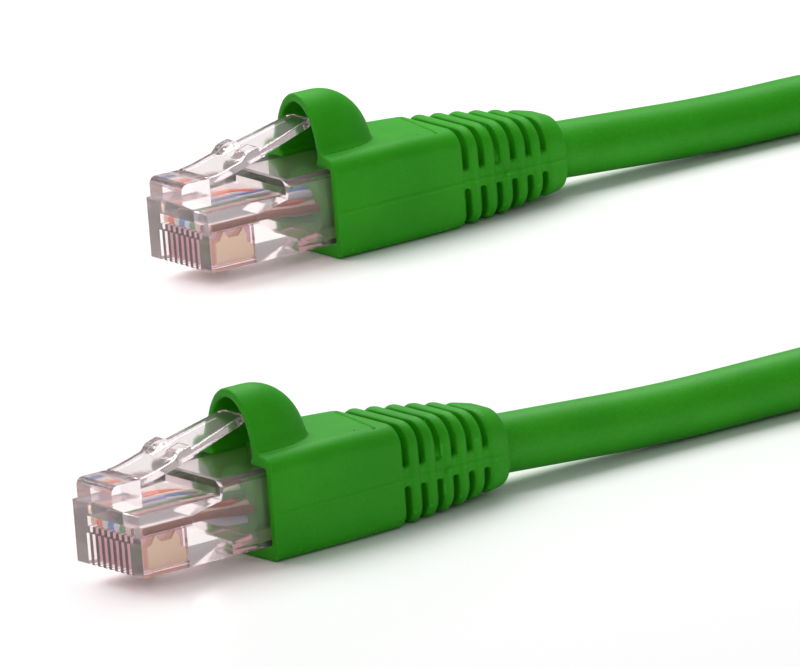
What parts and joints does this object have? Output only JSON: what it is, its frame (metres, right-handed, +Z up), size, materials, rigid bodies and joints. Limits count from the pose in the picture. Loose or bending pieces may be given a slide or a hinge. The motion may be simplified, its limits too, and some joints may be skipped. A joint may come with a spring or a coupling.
{
  "type": "ethernet patch cable",
  "caption": "Short snagless patch cable: clear modular plugs with sprung latch tabs, moulded green boots with hoods and slotted tails, and a looped round cable.",
  "frame": {"origin": "on the ground plane, under the centre of the footprint", "axes": "+X from the plug noses towards the loop of the cable, +Y from end a to end b, +Z up, with the latch tabs on top"},
  "size_m": [0.1858, 0.1128, 0.0172],
  "materials": {
    "clear_plastic": "clear moulded polycarbonate, polished",
    "contact_gold": "gold-plated stamped bronze",
    "boot_green": "soft moulded vinyl, fine satin",
    "jacket_green": "extruded vinyl jacket, satin",
    "wire_white_orange": "extruded insulation",
    "wire_orange": "extruded insulation",
    "wire_white_green": "extruded insulation",
    "wire_green": "extruded insulation",
    "wire_white_blue": "extruded insulation",
    "wire_blue": "extruded insulation",
    "wire_white_brown": "extruded insulation",
    "wire_brown": "extruded insulation"
  },
  "bodies": {
    "cable_loop": {"cable_jacket_loop": "jacket_green", "wire_loop_white_orange": "wire_white_orange", "wire_loop_orange": "wire_orange", "wire_loop_white_green": "wire_white_green", "wire_loop_green": "wire_green", "wire_loop_white_blue": "wire_white_blue", "wire_loop_blue": "wire_blue", "wire_loop_white_brown": "wire_white_brown", "wire_loop_brown": "wire_brown"},
    "end_a": {"plug_housing_a": "clear_plastic", "contact_a_1": "contact_gold", "contact_a_2": "contact_gold", "contact_a_3": "contact_gold", "contact_a_4": "contact_gold", "contact_a_5": "contact_gold", "contact_a_6": "contact_gold", "contact_a_7": "contact_gold", "contact_a_8": "contact_gold", "boot_a": "boot_green", "cable_jacket_a": "jacket_green", "wire_a_white_orange": "wire_white_orange", "wire_a_orange": "wire_orange", "wire_a_white_green": "wire_white_green", "wire_a_green": "wire_green", "wire_a_white_blue": "wire_white_blue", "wire_a_blue": "wire_blue", "wire_a_white_brown": "wire_white_brown", "wire_a_brown": "wire_brown"},
    "latch_a": {"latch_tab_a": "clear_plastic"},
    "end_b": {"plug_housing_b": "clear_plastic", "contact_b_1": "contact_gold", "contact_b_2": "contact_gold", "contact_b_3": "contact_gold", "contact_b_4": "contact_gold", "contact_b_5": "contact_gold", "contact_b_6": "contact_gold", "contact_b_7": "contact_gold", "contact_b_8": "contact_gold", "boot_b": "boot_green", "cable_jacket_b": "jacket_green", "wire_b_white_orange": "wire_white_orange", "wire_b_orange": "wire_orange", "wire_b_white_green": "wire_white_green", "wire_b_green": "wire_green", "wire_b_white_blue": "wire_white_blue", "wire_b_blue": "wire_blue", "wire_b_white_brown": "wire_white_brown", "wire_b_brown": "wire_brown"},
    "latch_b": {"latch_tab_b": "clear_plastic"}
  },
  "joints": [
    {"name": "cable_flex_a", "type": "hinge", "parent": "cable_loop", "child": "end_a", "pos_m": [-0.0257, -0.0495, 0.00334], "axis": [0, 0, 1], "range_deg": [-25, 25]},
    {"name": "cable_flex_b", "type": "hinge", "parent": "cable_loop", "child": "end_b", "pos_m": [0.05327, 0.04804, 0.00334], "axis": [0, 0, 1], "range_deg": [-25, 25]},
    {"name": "latch_a_press", "type": "hinge", "parent": "end_a", "child": "latch_a", "pos_m": [-0.0885, -0.0495, 0.01075], "axis": [0, 1, 0], "range_deg": [0, 12], "stiffness_Nm_per_rad": 0.05},
    {"name": "latch_b_press", "type": "hinge", "parent": "end_b", "child": "latch_b", "pos_m": [-0.0095, 0.0499, 0.01075], "axis": [0.0297, 0.9996, 0], "range_deg": [0, 12], "stiffness_Nm_per_rad": 0.05}
  ]
}
